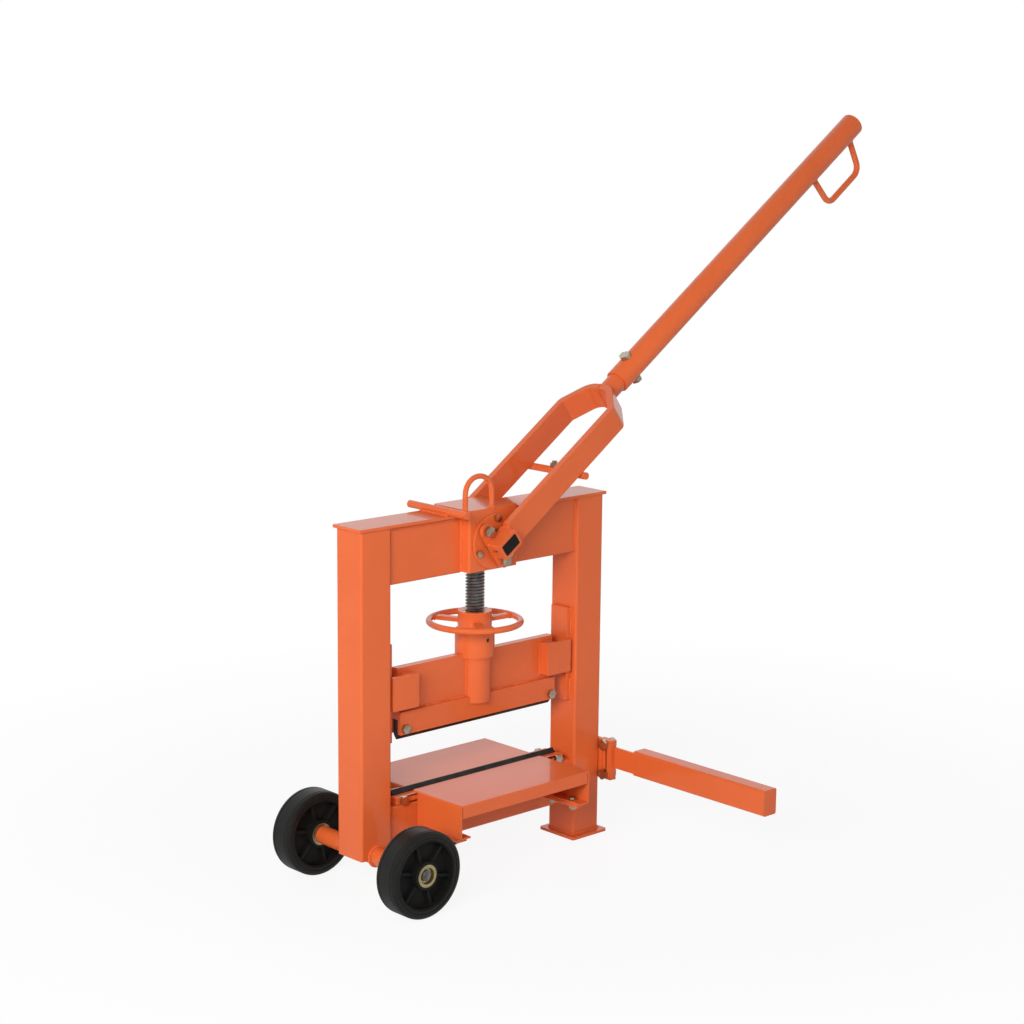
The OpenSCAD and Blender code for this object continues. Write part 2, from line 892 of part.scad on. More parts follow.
module lug_bolt_places() {
  for (z = [hinge_z, lock_z]) {
    translate([frame_w / 2, -bolt_y, z]) children();
  }
}

module arm_lug() {
  color(paint) place() difference() {
    box([frame_w / 2, -bolt_y - lug_margin, lug_z - lug_h / 2], [frame_w / 2 + lug_t, lug_back, lug_z + lug_h / 2]);
    lug_bolt_places() rod_x(lever_m + 2 * fit, -1, lug_t + 1);
  }
}

module arm_bolts() {
  grip = arm_x + arm_tube_wall + slack - frame_w / 2;
  color(zinc) place() lug_bolt_places() {
    rotate([0, 90, 0]) hex_bolt(lever_m, grip + nut_h(lever_m) + 2);
    translate([grip, 0, 0]) rotate([0, 90, 0]) hex_nut(lever_m);
  }
}

module stabiliser_arm() {
  plate_x = arm_x + arm_tube_wall;
  front = -bolt_y - lug_margin;
  back = -bolt_y + lug_margin - 4;
  hole = lever_m + 2 * fit;
  slot_r = hole / 2 + slack;
  slot_out = back + bolt_y + 1;
  color(paint) place() difference() {
    union() {
      translate([arm_x + arm_tube_w / 2, -arm_tube_start, arm_z]) rotate([90, 0, 0])
        linear_extrude(arm_reach - arm_tube_start) tube_2d(arm_tube_w, arm_tube_h, arm_tube_wall, tube_round);
      box([arm_x, -arm_tube_start - 2 * tube_round, arm_z - arm_tube_h / 2 + tube_round],
        [plate_x, front + 1, arm_z + arm_tube_h / 2 - tube_round]);
      box([arm_x, front, lug_z - lug_h / 2], [plate_x, back, lug_z + lug_h / 2]);
    }
    translate([0, -bolt_y, hinge_z]) rod_x(hole, arm_x - 1, plate_x + 1);
    translate([0, -bolt_y, lock_z]) rod_x(2 * slot_r, arm_x - 1, plate_x + 1);
    translate([arm_x - 1, -bolt_y, lock_z]) rotate([90, 0, 90]) linear_extrude(arm_tube_wall + 2) polygon([
      [0, -slot_r], [slot_out, -slot_r], [slot_out, slot_r + slot_rise], [0, slot_r]
    ]);
  }
}

module stabiliser_cap() {
  w = arm_tube_w - 2 * arm_tube_wall - 2 * fit;
  h = arm_tube_h - 2 * arm_tube_wall - 2 * fit;
  color(paint) place() translate([arm_x + arm_tube_w / 2, -arm_reach + arm_cap_t, arm_z]) rotate([90, 0, 0])
    linear_extrude(arm_cap_t) round_rect(w, h, 0.5);
}

// Lever and eccentric

module eccentric_shaft() {
  half = eccentric_w / 2;
  color(black_steel) place() {
    translate([ecc_x, 0, ecc_z]) rod_y(eccentric_d, -half, half);
    translate([0, 0, pivot_z]) {
      rod_y(shaft_d, -drive_y, -half);
      rod_y(shaft_d, half, rear_y);
    }
    on_lever() {
      front_slab(drive_y, drive_t + socket_l - plug_l) square([tang_l, tang_h], center = true);
      rear_slab(rear_y, socket_l - plug_l) square([tang_l, tang_h], center = true);
    }
  }
}

module drive_bolt_places() {
  for (n = [-drive_bolt_r, drive_bolt_r]) {
    translate([drive_bolt_s, 0, n]) children();
  }
}

module front_socket() {
  color(paint) place() on_lever() difference() {
    union() {
      front_slab(drive_y, drive_t) {
        square([socket_w, socket_h], center = true);
        translate([drive_bolt_s, 0]) square([2 * drive_boss_r, 2 * drive_bolt_r], center = true);
        for (n = [-drive_bolt_r, drive_bolt_r]) {
          translate([drive_bolt_s, n]) circle(r = drive_boss_r);
        }
      }
      front_slab(drive_y + drive_t / 2, drive_t / 2 + socket_l) round_rect(socket_w, socket_h, 3);
    }
    front_slab(drive_y - 1, drive_t + socket_l + 2) square([tang_l + 2 * fit, tang_h + 2 * fit], center = true);
    drive_bolt_places() rod_y(lever_m + 2 * fit, -arm_y - 1, -drive_y + 1);
    box([-socket_w, -socket_end + plug_l, -tang_h / 4], [-tang_l / 2, -arm_y - 4, tang_h / 4]);
  }
}

module rear_socket() {
  color(paint) place() on_lever() difference() {
    rear_slab(rear_y, socket_l) round_rect(socket_w, socket_h, 3);
    rear_slab(rear_y - 1, socket_l + 2) square([tang_l + 2 * fit, tang_h + 2 * fit], center = true);
  }
}

module socket_plugs() {
  color(black_plastic) place() on_lever() {
    front_slab(socket_end - plug_l, plug_l + 1) round_rect(tang_l, tang_h, 2.5);
    rear_slab(rear_end - plug_l, plug_l + 1) round_rect(tang_l, tang_h, 2.5);
  }
}

module drive_bolts() {
  color(zinc) place() on_lever() drive_bolt_places()
    translate([0, -arm_y, 0]) rotate([-90, 0, 0]) hex_bolt(lever_m, drive_t - 0.5);
}

// Plan of a fork arm as seen on the rear side, from its socket to the middle of the fork's nose
function arm_path(mid) =
  let (root = [arm_root, mid], bend = [arm_bend_s, mid], corner = [nose_s, nose_half], tip = [nose_s, 0])
  concat([root], bend_points(root, bend, corner, arm_bend_r), bend_points(bend, corner, tip, nose_r), [tip]);

module arm(mid) {
  path = arm_path(mid);
  near = [for (i = [0 : len(path) - 1]) path[i] + mitre_at(path, i) * arm_t / 2];
  far = [for (i = [len(path) - 1 : -1 : 0]) path[i] - mitre_at(path, i) * arm_t / 2];
  on_lever() translate([0, 0, -arm_w / 2]) linear_extrude(arm_w) polygon(concat(near, far));
}

module rear_arm() {
  color(paint) place() arm(rear_mid);
}

module front_arm() {
  color(paint) place() mirror([0, 1, 0]) arm(arm_mid);
}

module handle_bolt_hole() {
  translate([handle_start + handle_bolt_s, 0, 0]) rod_z(lever_m + 2 * fit, -handle_od, handle_od);
}

module handle_stub() {
  color(paint) place() difference() {
    on_lever() rod_x(stub_d, nose_s, handle_start + stub_in);
    arm(rear_mid);
    mirror([0, 1, 0]) arm(arm_mid);
    on_lever() handle_bolt_hole();
  }
}

module handle_tube() {
  color(paint) place() on_lever() difference() {
    rod_x(handle_od, handle_start, handle_end);
    rod_x(stub_d + 2 * fit, handle_start - 1, handle_end + 1);
    handle_bolt_hole();
  }
}

module handle_cap() {
  color(paint) place() on_lever() {
    rod_x(handle_od, handle_end, handle_end + cap_t);
    rod_x(stub_d, handle_end - 12, handle_end + cap_t / 2);
  }
}

module hand_guard() {
  low = -handle_od / 2 - guard_depth + guard_rod / 2;
  root = -handle_od / 2 + guard_rod;
  end = guard_start + guard_l;
  color(paint) place() on_lever() difference() {
    rotate([90, 0, 0]) rod_path(bent([
      [guard_start, root], [guard_start + guard_lean_low, low],
      [end - guard_lean_high, low], [end, root]
    ], guard_bend), guard_rod);
    box([guard_start - guard_l, -guard_rod, -handle_od / 2], [handle_end + guard_l, guard_rod, handle_od]);
  }
}

module handle_bolt() {
  color(zinc) place() on_lever() translate([handle_start + handle_bolt_s, 0, 0]) {
    translate([0, 0, handle_od / 2]) mirror([0, 0, 1]) hex_bolt(lever_m, handle_od + nut_h(lever_m) + 2);
    translate([0, 0, -handle_od / 2 - nut_h(lever_m)]) hex_nut(lever_m);
  }
}

// Press: the yoke round the eccentric and the spindle under it

module yoke_head() {
  low = ecc_x - ecc_r - 1;
  high = throw + ecc_r + 1;
  top = ecc_z + ecc_r + yoke_play;
  bottom = ecc_z - ecc_r - yoke_play;
  color(dark_steel) place() difference() {
    box([low - yoke_side, -yoke_t / 2, yoke_bottom], [high + yoke_side, yoke_t / 2, top + yoke_cap]);
    box([low, -yoke_t, bottom], [high, yoke_t, top]);
  }
}

module spindle() {
  crest = spindle_d / 2;
  root = crest - thread_depth;
  end = blade_edge + spindle_end;
  start = end + pitch;
  turns = floor((thread_top - start) / pitch);
  grooves = [for (i = [0 : turns - 1]) let (z = start + i * pitch) each [
    [crest, z + crest_w], [root, z + crest_w + flank_w], [root, z + pitch - flank_w], [crest, z + pitch]
  ]];
  color(dark_steel) place() rotate_extrude() polygon(concat(
    [[0, end], [root, end], [crest, end + thread_depth]],
    grooves, [[crest, spindle_top], [0, spindle_top]]
  ));
}

// Carriage: the collar, tube and blade that hang on the spindle

module carriage_tube_space() {
  rod_z(tube_d + 2 * fit, tube_bottom - fit, collar_top);
  rod_z(collar_d + 2 * fit, collar_bottom - fit, collar_top + 1);
}

module nut_tube() {
  color(paint) on_carriage() difference() {
    union() {
      rod_z(tube_d, tube_bottom, collar_bottom + 1);
      rod_z(collar_d, collar_bottom, collar_top);
    }
    rod_z(neck_d + 2 * slack, neck_bottom - 1, collar_top + 1);
    rod_z(spindle_d + 2 * spindle_room, tube_bottom + tube_floor, collar_top);
    both_sides() translate([0, 0, groove_z]) rod_y(grub_m + 2 * fit, -collar_d, 0);
  }
}

module grub_screws() {
  tip = neck_d / 2 - groove_depth + slack;
  color(black_steel) on_carriage() both_sides() translate([0, 0, groove_z]) rod_y(grub_m, -collar_d / 2 + 2, -tip);
}

module blade_bolt_holes() {
  both_ends() translate([blade_bolt_x, 0, blade_bolt_z]) rod_y(blade_m + 2 * fit, -2 * apron_y, 2 * apron_y);
}

module blade_plates() {
  color(paint) on_carriage() difference() {
    box([-plate_l / 2, -plate_y, blade_seat], [plate_l / 2, plate_y, plate_top]);
    carriage_tube_space();
  }
}

module blade_apron() {
  color(paint) on_carriage() difference() {
    both_sides() box([-plate_l / 2, plate_y, apron_bottom], [plate_l / 2, apron_y, apron_top]);
    carriage_tube_space();
    blade_bolt_holes();
  }
}

module upper_blade() {
  color(black_steel) on_carriage() difference() {
    blade_bar(plate_l - 2 * blade_end, plate_t, blade_seat, 0);
    blade_bolt_holes();
  }
}

module upper_blade_bolts() {
  color(zinc) on_carriage() both_ends() translate([blade_bolt_x, 0, blade_bolt_z])
    through_bolt_y(blade_m, -apron_y, apron_y);
}

module guide_claws() {
  inner = claw_out - claw_w;
  top = claw_bottom + claw_h;
  color(paint) on_carriage() both_ends() both_sides() {
    box([inner, claw_y, claw_bottom], [claw_out, claw_y + claw_t, top]);
    box([inner, plate_y, claw_bottom], [inner + claw_foot, claw_y + claw_t / 2, top]);
  }
}

// Handwheel

module handwheel() {
  hub_top = hub_bottom + wheel_hub_h;
  color(paint) on_carriage() difference() {
    union() {
      rod_z(wheel_hub_d, hub_bottom, hub_top);
      rod_z(neck_d, neck_bottom, hub_bottom + 1);
      translate([0, 0, wheel_ring_z]) rotate_extrude($fn = 96) translate([wheel_ring_r, 0]) circle(d = wheel_rod);
      for (i = [0 : 2]) {
        rotate([0, 0, spoke_angle + i * 120])
          box([nut_d / 2 + 2, -spoke_w / 2, wheel_ring_z - spoke_t / 2],
            [wheel_ring_r, spoke_w / 2, wheel_ring_z + spoke_t / 2]);
      }
    }
    rod_z(nut_d + 2 * fit, neck_bottom - 1, hub_top + 1);
    translate([0, 0, groove_z - groove_w / 2]) difference() {
      rod_z(neck_d + 2, 0, groove_w);
      rod_z(neck_d - 2 * groove_depth, -1, groove_w + 1);
    }
  }
}

module spindle_nut() {
  hub_top = hub_bottom + wheel_hub_h;
  color(bronze) on_carriage() difference() {
    rod_z(nut_d, neck_bottom, hub_top);
    rod_z(spindle_d + 2 * slack, neck_bottom - 1, hub_top + 1);
  }
}

left_post();
right_post();
foot_plate();
top_plates();
left_beam();
right_beam();
head_housing();
front_bearing();
rear_bearing();
bearing_bolts();
spindle_bush();
lifting_eye();
left_stop_bar();
right_stop_bar();
stop_stud();
lower_beam();
blade_cheeks();
lower_blade();
lower_blade_bolts();
guide_rails();
front_table();
rear_table();
table_bars();
table_bolts();
axle_sleeve();
axle();
axle_rings();
arm_lug();
arm_bolts();
eccentric_shaft();
front_socket();
rear_socket();
socket_plugs();
drive_bolts();
front_arm();
rear_arm();
handle_stub();
handle_tube();
handle_cap();
hand_guard();
handle_bolt();
yoke_head();
spindle();
blade_plates();
nut_tube();
grub_screws();
guide_claws();
blade_apron();
upper_blade();
upper_blade_bolts();
handwheel();
spindle_nut();
front_tyre();
front_wheel_core();
front_wheel_bush();
rear_tyre();
rear_wheel_core();
rear_wheel_bush();
stabiliser_arm();
stabiliser_cap();
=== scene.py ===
# %% [markdown]
# # A hand-operated block splitter
# A portal of square tube stands on two solid wheels and a foot plate. A forked lever turns an eccentric in
# the head, which pushes a threaded spindle and the upper blade down on a stone. The measured model gives
# every piece its size and place, and this lesson gives it its finish: powder coat, zinc, black rubber, weld
# seams and a true screw thread.

# %% Load the measured model
import json
import math

import bpy
from mathutils import Matrix, Vector


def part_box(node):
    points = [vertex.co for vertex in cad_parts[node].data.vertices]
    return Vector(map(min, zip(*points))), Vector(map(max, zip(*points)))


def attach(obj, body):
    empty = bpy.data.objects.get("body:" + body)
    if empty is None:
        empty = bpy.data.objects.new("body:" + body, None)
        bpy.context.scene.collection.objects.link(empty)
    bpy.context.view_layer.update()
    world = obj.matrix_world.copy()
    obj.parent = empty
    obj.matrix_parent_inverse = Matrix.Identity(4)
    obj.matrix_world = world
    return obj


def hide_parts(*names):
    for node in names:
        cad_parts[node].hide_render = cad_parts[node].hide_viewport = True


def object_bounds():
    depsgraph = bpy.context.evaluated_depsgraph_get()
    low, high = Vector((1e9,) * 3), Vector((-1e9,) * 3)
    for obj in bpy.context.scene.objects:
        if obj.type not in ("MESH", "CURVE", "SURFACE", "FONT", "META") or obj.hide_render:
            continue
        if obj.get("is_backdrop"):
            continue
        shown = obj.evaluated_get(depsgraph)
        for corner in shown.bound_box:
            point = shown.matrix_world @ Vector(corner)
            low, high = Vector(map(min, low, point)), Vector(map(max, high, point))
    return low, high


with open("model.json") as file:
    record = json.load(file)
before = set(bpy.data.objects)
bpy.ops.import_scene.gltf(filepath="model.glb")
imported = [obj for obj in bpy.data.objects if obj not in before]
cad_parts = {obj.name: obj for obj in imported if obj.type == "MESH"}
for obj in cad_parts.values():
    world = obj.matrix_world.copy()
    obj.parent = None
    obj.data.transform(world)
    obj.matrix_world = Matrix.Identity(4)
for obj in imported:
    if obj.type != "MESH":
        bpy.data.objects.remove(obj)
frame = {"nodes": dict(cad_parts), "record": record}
nodes = frame["nodes"]
cad_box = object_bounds()
middle = (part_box("left_post")[0].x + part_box("right_post")[1].x) / 2
print("nodes:", len(nodes), "middle of the portal at x =", round(middle, 4))

# %% [markdown]
# ## The camera
# The picture was taken from the wheel side, a little above the head, with a long lens. The place and the
# lens come from fitting known lengths of the frame to the picture, so they are written as they were found.
# The camera also has a slight roll, which is why its axes are built by hand instead of aiming it with a
# constraint.

# %% Place the camera
CAMERA_PLACE = Vector((-2.6901, -2.9782, 1.4349))
AZIMUTH = math.radians(-43.056)
ELEVATION = math.radians(10.685)
ROLL = math.radians(0.55)
FOCAL_PIXELS = 2201.4
PICTURE_PIXELS = 1024
SENSOR = 36

flat_share = math.cos(ELEVATION)
back = Vector((math.sin(AZIMUTH) * flat_share, -math.cos(AZIMUTH) * flat_share, math.sin(ELEVATION)))
level = (-back).cross(Vector((0, 0, 1))).normalized()
upward = level.cross(-back)
right = level * math.cos(ROLL) + upward * math.sin(ROLL)
up = upward * math.cos(ROLL) - level * math.sin(ROLL)
lens = bpy.data.cameras.new("camera")
lens.sensor_width = SENSOR
lens.lens = FOCAL_PIXELS / PICTURE_PIXELS * SENSOR
camera = bpy.data.objects.new("camera", lens)
bpy.context.scene.collection.objects.link(camera)
camera.matrix_world = Matrix((right, up, back)).transposed().to_4x4()
camera.location = CAMERA_PLACE + Vector((middle, 0, 0))
bpy.context.scene.camera = camera
bpy.context.scene.view_settings.view_transform = "Standard"
print("lens", round(lens.lens, 2), "mm")

# %% [markdown]
# ## The lights
# The machine was photographed on white, under broad soft boxes: one beside the wheels, a key light to the
# left of the camera, and weaker ones in front, overhead and low behind. An area light of disk shape stands
# in for each. Gloss mirrors only a dim twin of the key light, so that no top is washed out to white from
# any side.

# %% Set the lights
KEY_SPOT = (-3.2, -2.2, 2.0)
AIM = (-0.2, 0, 0.6)


def soft_box(name, spot, aim, size, watts, mirrored_in_gloss=False):
    data = bpy.data.lights.new(name, "AREA")
    data.shape = "DISK"
    data.size = size
    data.energy = watts
    lamp = bpy.data.objects.new(name, data)
    bpy.context.scene.collection.objects.link(lamp)
    lamp.location = spot
    lamp.rotation_euler = (Vector(aim) - Vector(spot)).to_track_quat("-Z", "Y").to_euler()
    lamp.visible_glossy = mirrored_in_gloss


soft_box("wheel_side_box", (-3.6, -1.3, 1.7), (-0.3, 0, 0.6), size=1.2, watts=56)
soft_box("key_box", KEY_SPOT, AIM, size=1.5, watts=64)
soft_box("key_sheen", KEY_SPOT, AIM, size=1.5, watts=10, mirrored_in_gloss=True)
soft_box("front_box", (0.9, -3.9, 1.9), AIM, size=2.2, watts=14)
soft_box("overhead_box", (-0.4, 0.3, 3.6), (-0.2, 0, 0.5), size=2.6, watts=2)
soft_box("rear_box", (2.2, 3.0, 1.1), (-0.1, 0, 0.6), size=2.2, watts=50)

# %% [markdown]
# ## The world
# One even white world would light every side alike and leave the gloss without form. A Light Path node
# tells apart three kinds of ray instead. The camera sees pure white. Reflections find the world bright
# behind the machine and dimmer behind the camera, so the tops seen at a slant fade to pale pink while the
# front faces keep their colour. As light it gives only a part of its white, and less from above than from
# the sides.

# %% Build the white world
MIRRORED_BEHIND_CAMERA = 0.35
MIRRORED_BEHIND_MACHINE = 1.0
LIT_FROM_SIDES = 0.42
LIT_FROM_ABOVE = 0.24


def strength_map(tree, source, limits, strengths):
    node = tree.nodes.new("ShaderNodeMapRange")
    for socket, value in zip(("From Min", "From Max", "To Min", "To Max"), (*limits, *strengths)):
        node.inputs[socket].default_value = value
    tree.links.new(source, node.inputs["Value"])
    return node.outputs[0]


def mix_shaders(tree, factor, first, second):
    node = tree.nodes.new("ShaderNodeMixShader")
    tree.links.new(factor, node.inputs[0])
    tree.links.new(first, node.inputs[1])
    tree.links.new(second, node.inputs[2])
    return node.outputs[0]


def white_background(tree):
    node = tree.nodes.new("ShaderNodeBackground")
    node.inputs["Color"].default_value = (1, 1, 1, 1)
    return node


world = bpy.data.worlds.new("white_studio")
bpy.context.scene.world = world
world.use_nodes = True
sky = world.node_tree
sky.nodes.clear()
seen = white_background(sky)
mirrored = white_background(sky)
lit = white_background(sky)
heading = sky.nodes.new("ShaderNodeTexCoord")
away = sky.nodes.new("ShaderNodeVectorMath")
away.operation = "DOT_PRODUCT"
away.inputs[1].default_value = -back
sky.links.new(heading.outputs["Generated"], away.inputs[0])
mirror_range = (MIRRORED_BEHIND_CAMERA, MIRRORED_BEHIND_MACHINE)
mirror_strength = strength_map(sky, away.outputs["Value"], (-0.5, 0.6), mirror_range)
sky.links.new(mirror_strength, mirrored.inputs["Strength"])
climb = sky.nodes.new("ShaderNodeSeparateXYZ")
sky.links.new(heading.outputs["Generated"], climb.inputs[0])
lit_strength = strength_map(sky, climb.outputs["Z"], (0.0, 0.9), (LIT_FROM_SIDES, LIT_FROM_ABOVE))
sky.links.new(lit_strength, lit.inputs["Strength"])
sky_path = sky.nodes.new("ShaderNodeLightPath")
sky_out = sky.nodes.new("ShaderNodeOutputWorld")
unseen = mix_shaders(sky, sky_path.outputs["Is Glossy Ray"], lit.outputs[0], mirrored.outputs[0])
studio = mix_shaders(sky, sky_path.outputs["Is Camera Ray"], unseen, seen.outputs[0])
sky.links.new(studio, sky_out.inputs[0])
print("world nodes:", len(sky.nodes))

# %% [markdown]
# ## The floor
# The floor has to vanish into the white, yet hold a faint shadow so that the machine stands on something.
# It is a matt white plane under a white glow. Near the machine a small share of the matt shows through and
# holds the shadow, further out the glow takes over. In reflections it glows less, or it would pale the
# faces that mirror it.

# %% Lay the floor
FLOOR_SIZE = 60
FLOOR_DROP = 0.0005
PAPER_WHITE = 0.85
SHADOW_REACH = (0.7, 1.7)
GLOW_SHARE = (0.89, 1.0)
GLOW_MIRRORED = 0.55
GLOW_SEEN = 1.0


def combined(tree, operation, first, second):
    node = tree.nodes.new("ShaderNodeMath")
    node.operation = operation
    tree.links.new(first, node.inputs[0])
    tree.links.new(second, node.inputs[1])
    return node.outputs[0]


bpy.ops.object.select_all(action="DESELECT")
bpy.ops.mesh.primitive_plane_add(size=FLOOR_SIZE, location=(0, 0, -FLOOR_DROP))
floor = bpy.context.object
floor.name = "floor"
floor_paper = bpy.data.materials.new("floor_paper")
floor_paper.use_nodes = True
paper = floor_paper.node_tree
paper.nodes.clear()
matt = paper.nodes.new("ShaderNodeBsdfDiffuse")
matt.inputs["Color"].default_value = (PAPER_WHITE, PAPER_WHITE, PAPER_WHITE, 1)
glow = paper.nodes.new("ShaderNodeEmission")
paper_path = paper.nodes.new("ShaderNodeLightPath")
from_camera = paper_path.outputs["Is Camera Ray"]
paper_out = paper.nodes.new("ShaderNodeOutputMaterial")
ground = paper.nodes.new("ShaderNodeTexCoord")
distance = paper.nodes.new("ShaderNodeVectorMath")
distance.operation = "LENGTH"
paper.links.new(ground.outputs["Object"], distance.inputs[0])
faint = strength_map(paper, distance.outputs["Value"], SHADOW_REACH, GLOW_SHARE)
shown = combined(paper, "MAXIMUM", from_camera, paper_path.outputs["Is Glossy Ray"])
share = combined(paper, "MULTIPLY", shown, faint)
strength = strength_map(paper, from_camera, (0, 1), (GLOW_MIRRORED, GLOW_SEEN))
paper.links.new(strength, glow.inputs["Strength"])
paper.links.new(mix_shaders(paper, share, matt.outputs[0], glow.outputs[0]), paper_out.inputs[0])
floor.data.materials.append(floor_paper)
floor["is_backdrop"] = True
print("floor", FLOOR_SIZE, "m wide")

# %% [markdown]
# ## Shared effects
# Powder coat, plastic and rubber all show the same two things: a slow drift of colour and gloss over a
# hand's width, and a fine skin in the surface. Plated and oiled metals show stains and fine turning marks
# instead. Both are one broad and one fine noise on Object coordinates, so one function builds them as node
# groups with named inputs, and every finish sets its own values.

# %% Build the node groups
def new_node(tree, kind, **values):
    node = tree.nodes.new(kind)
    for key, value in values.items():
        if hasattr(node, key):
            setattr(node, key, value)
        else:
            node.inputs[key.replace("_", " ")].default_value = value
    return node


def effect_group(name, broad_word, fine_word, broad, fine, spread, gloss, gloss_follows):
    group = bpy.data.node_groups.new(name, "ShaderNodeTree")
    broad_colour = broad_word + " colour"
    broad_scale = broad_word + " scale"
    fine_scale = fine_word + " scale"
    for socket in ("Colour", broad_colour):
        group.interface.new_socket(name=socket, in_out="INPUT", socket_type="NodeSocketColor")
    for socket in (broad_scale, fine_scale, "Gloss low", "Gloss high"):
        group.interface.new_socket(name=socket, in_out="INPUT", socket_type="NodeSocketFloat")
    group.interface.new_socket(name="Colour", in_out="OUTPUT", socket_type="NodeSocketColor")
    for socket in ("Roughness", fine_word):
        group.interface.new_socket(name=socket, in_out="OUTPUT", socket_type="NodeSocketFloat")
    given = new_node(group, "NodeGroupInput")
    out = new_node(group, "NodeGroupOutput")
    spot = new_node(group, "ShaderNodeTexCoord")
    noise = {broad_word: new_node(group, "ShaderNodeTexNoise", **broad),
             fine_word: new_node(group, "ShaderNodeTexNoise", **fine)}
    blend = new_node(group, "ShaderNodeMapRange", **spread)
    shine = new_node(group, "ShaderNodeMapRange", **gloss)
    mix = new_node(group, "ShaderNodeMix", data_type="RGBA")
    link = group.links.new
    for word, node in noise.items():
        link(spot.outputs["Object"], node.inputs["Vector"])
        link(given.outputs[word + " scale"], node.inputs["Scale"])
    link(noise[broad_word].outputs[0], blend.inputs["Value"])
    link(blend.outputs[0], mix.inputs[0])
    link(given.outputs["Colour"], mix.inputs[6])
    link(given.outputs[broad_colour], mix.inputs[7])
    link(noise[gloss_follows].outputs[0], shine.inputs["Value"])
    link(given.outputs["Gloss low"], shine.inputs["To Min"])
    link(given.outputs["Gloss high"], shine.inputs["To Max"])
    link(mix.outputs[2], out.inputs["Colour"])
    link(shine.outputs[0], out.inputs["Roughness"])
    link(noise[fine_word].outputs[0], out.inputs[fine_word])
    return group


soft_step = {"interpolation_type": "SMOOTHSTEP", "From_Min": 0.2, "From_Max": 0.8}
coat_skin = effect_group(
    "coat_skin", "Drift", "Skin",
    broad={"Detail": 3.0, "Roughness": 0.55},
    fine={"Detail": 2.0, "Roughness": 0.5},
    spread=soft_step, gloss=soft_step, gloss_follows="Drift")
metal_stain = effect_group(
    "metal_stain", "Stain", "Mark",
    broad={"Detail": 4.0, "Roughness": 0.6, "Distortion": 0.6},
    fine={"Detail": 3.0, "Roughness": 0.6},
    spread={"From_Min": 0.4, "From_Max": 0.65},
    gloss={"From_Min": 0.35, "From_Max": 0.65}, gloss_follows="Mark")
print("groups:", coat_skin.name, metal_stain.name)

# %% [markdown]
# ## The finishes
# Nearly everything is welded steel under orange powder coat: a glossy film over a colour between orange and
# salmon. The blades and the wheels are black, the bolts are zinc with a hint of yellow, the wheels' bushes
# are yellow zinc, and the spindle is dark with grease. Each finish is one Principled shader that takes its
# colour, gloss and bump from a group above. A sharp Coat layer over the softer paint gives powder coat its
# double gloss.

# %% Mix the finishes
def finish(name, group, colour, second, scales, gloss, bump, **shader):
    made = bpy.data.materials.new(name)
    made.use_nodes = True
    tree = made.node_tree
    surface = tree.nodes["Principled BSDF"]
    effect = tree.nodes.new("ShaderNodeGroup")
    effect.node_tree = group
    for socket, value in zip(list(effect.inputs), [(*colour, 1), (*second, 1), *scales, *gloss]):
        socket.default_value = value
    raised = tree.nodes.new("ShaderNodeBump")
    raised.inputs["Strength"].default_value = bump[0]
    raised.inputs["Distance"].default_value = bump[1]
    tree.links.new(effect.outputs[0], surface.inputs["Base Color"])
    tree.links.new(effect.outputs[1], surface.inputs["Roughness"])
    tree.links.new(effect.outputs[2], raised.inputs["Height"])
    tree.links.new(raised.outputs[0], surface.inputs["Normal"])
    for key, value in shader.items():
        surface.inputs[key.replace("_", " ")].default_value = value
    return made


finishes = {
    "paint": finish(
        "orange_powder_coat", coat_skin, colour=(0.76, 0.141, 0.035), second=(0.70, 0.122, 0.028),
        scales=(4.0, 240.0), gloss=(0.29, 0.36), bump=(0.025, 0.0006),
        Coat_Weight=0.45, Coat_Roughness=0.05, Specular_IOR_Level=0.22),
    "zinc": finish(
        "yellowish_zinc", metal_stain, colour=(0.60, 0.56, 0.47), second=(0.40, 0.34, 0.23),
        scales=(70.0, 900.0), gloss=(0.15, 0.26), bump=(0.10, 0.0004), Metallic=1.0),
    "yellow_zinc": finish(
        "yellow_passivated_zinc", metal_stain, colour=(0.60, 0.50, 0.27), second=(0.44, 0.35, 0.17),
        scales=(50.0, 900.0), gloss=(0.29, 0.38), bump=(0.10, 0.0004), Metallic=1.0),
    "black_steel": finish(
        "black_blade", metal_stain, colour=(0.012, 0.011, 0.011), second=(0.026, 0.023, 0.021),
        scales=(45.0, 500.0), gloss=(0.34, 0.50), bump=(0.14, 0.0006), Specular_IOR_Level=0.28),
    "dark_steel": finish(
        "oiled_steel", metal_stain, colour=(0.27, 0.26, 0.25), second=(0.13, 0.12, 0.11),
        scales=(50.0, 900.0), gloss=(0.29, 0.45), bump=(0.15, 0.0004), Metallic=0.9),
    "bronze": finish(
        "machined_bronze", metal_stain, colour=(0.55, 0.33, 0.13), second=(0.40, 0.22, 0.08),
        scales=(40.0, 900.0), gloss=(0.29, 0.40), bump=(0.10, 0.0004), Metallic=1.0),
    "black_plastic": finish(
        "black_wheel_core", coat_skin, colour=(0.007, 0.007, 0.007), second=(0.012, 0.011, 0.010),
        scales=(14.0, 480.0), gloss=(0.42, 0.58), bump=(0.20, 0.0006), Specular_IOR_Level=0.14),
    "black_rubber": finish(
        "black_tyre", coat_skin, colour=(0.009, 0.009, 0.009), second=(0.016, 0.015, 0.014),
        scales=(16.0, 300.0), gloss=(0.36, 0.50), bump=(0.18, 0.0008), Specular_IOR_Level=0.22),
}
print("finishes:", ", ".join(finishes))

